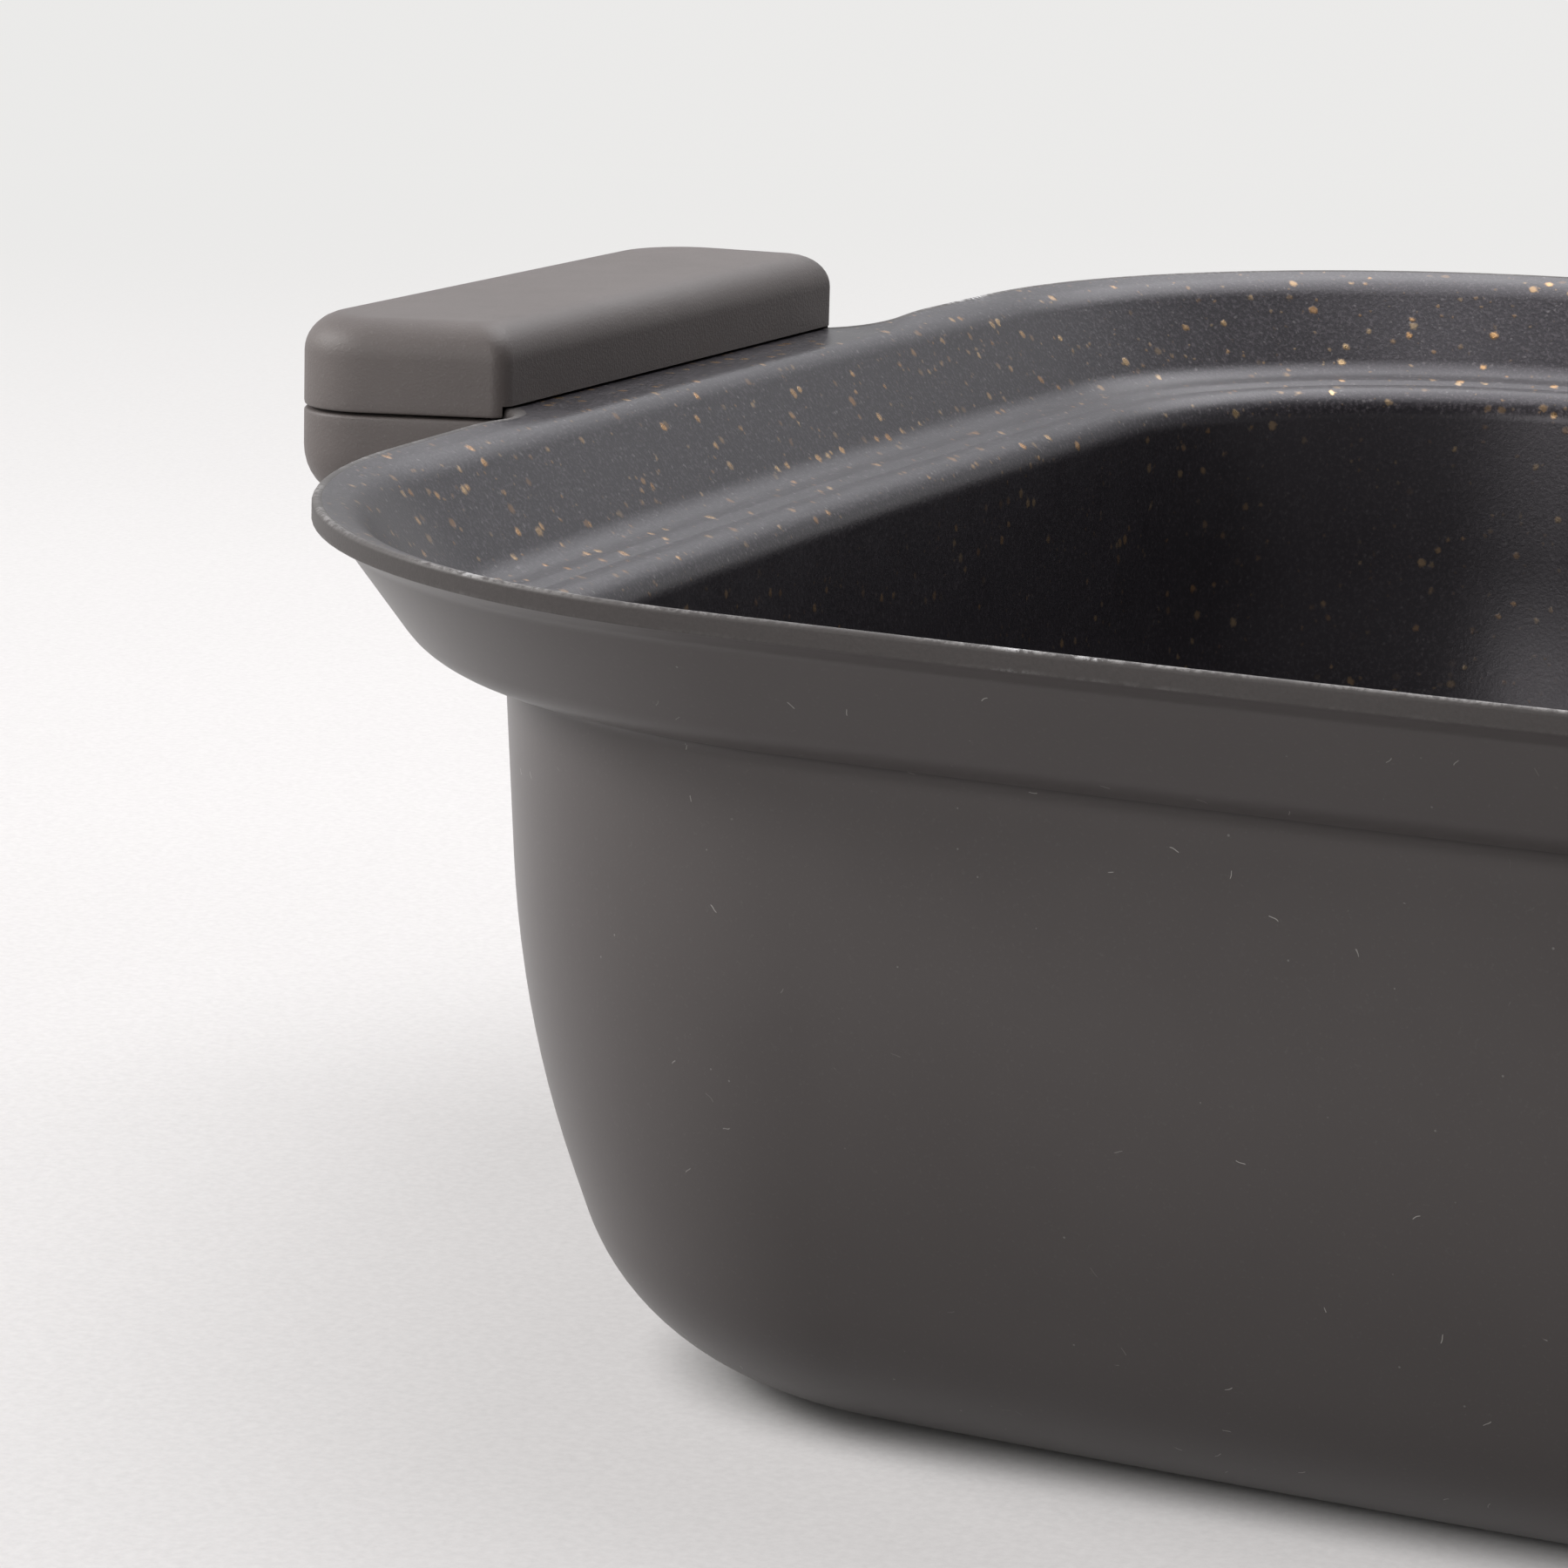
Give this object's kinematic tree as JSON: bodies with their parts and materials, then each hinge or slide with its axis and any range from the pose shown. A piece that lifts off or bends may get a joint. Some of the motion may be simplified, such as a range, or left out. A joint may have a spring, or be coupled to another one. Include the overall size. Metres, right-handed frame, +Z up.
{
  "type": "square hot pot",
  "caption": "Square pressed-aluminium table hot pot with a stepped rim that seats a lid, a speckled non-stick inside and side handles clamped on ears of the rim.",
  "frame": {"origin": "centre of the pot's base, on the surface that it stands on", "axes": "+Z up, +X from the left handle to the right handle, -Y towards the viewer of the picture"},
  "size_m": [0.3276, 0.27, 0.0869],
  "materials": {
    "pot": "matte warm grey paint outside, dark non-stick coating with gold speckle inside, bare metal where the rim is worn",
    "induction_plate": "brushed ferritic stainless, perforated",
    "handle": "matte moulded phenolic with a fine grain",
    "fastener": "zinc plated steel",
    "insert": "turned brass"
  },
  "bodies": {
    "root": {"pot_body": "pot", "induction_plate": "induction_plate", "left_handle_upper": "handle", "left_handle_lower": "handle", "left_front_screw": "fastener", "left_front_washer": "fastener", "left_front_insert": "insert", "left_rear_screw": "fastener", "left_rear_washer": "fastener", "left_rear_insert": "insert", "right_handle_upper": "handle", "right_handle_lower": "handle", "right_front_screw": "fastener", "right_front_washer": "fastener", "right_front_insert": "insert", "right_rear_screw": "fastener", "right_rear_washer": "fastener", "right_rear_insert": "insert"}
  },
  "joints": []
}
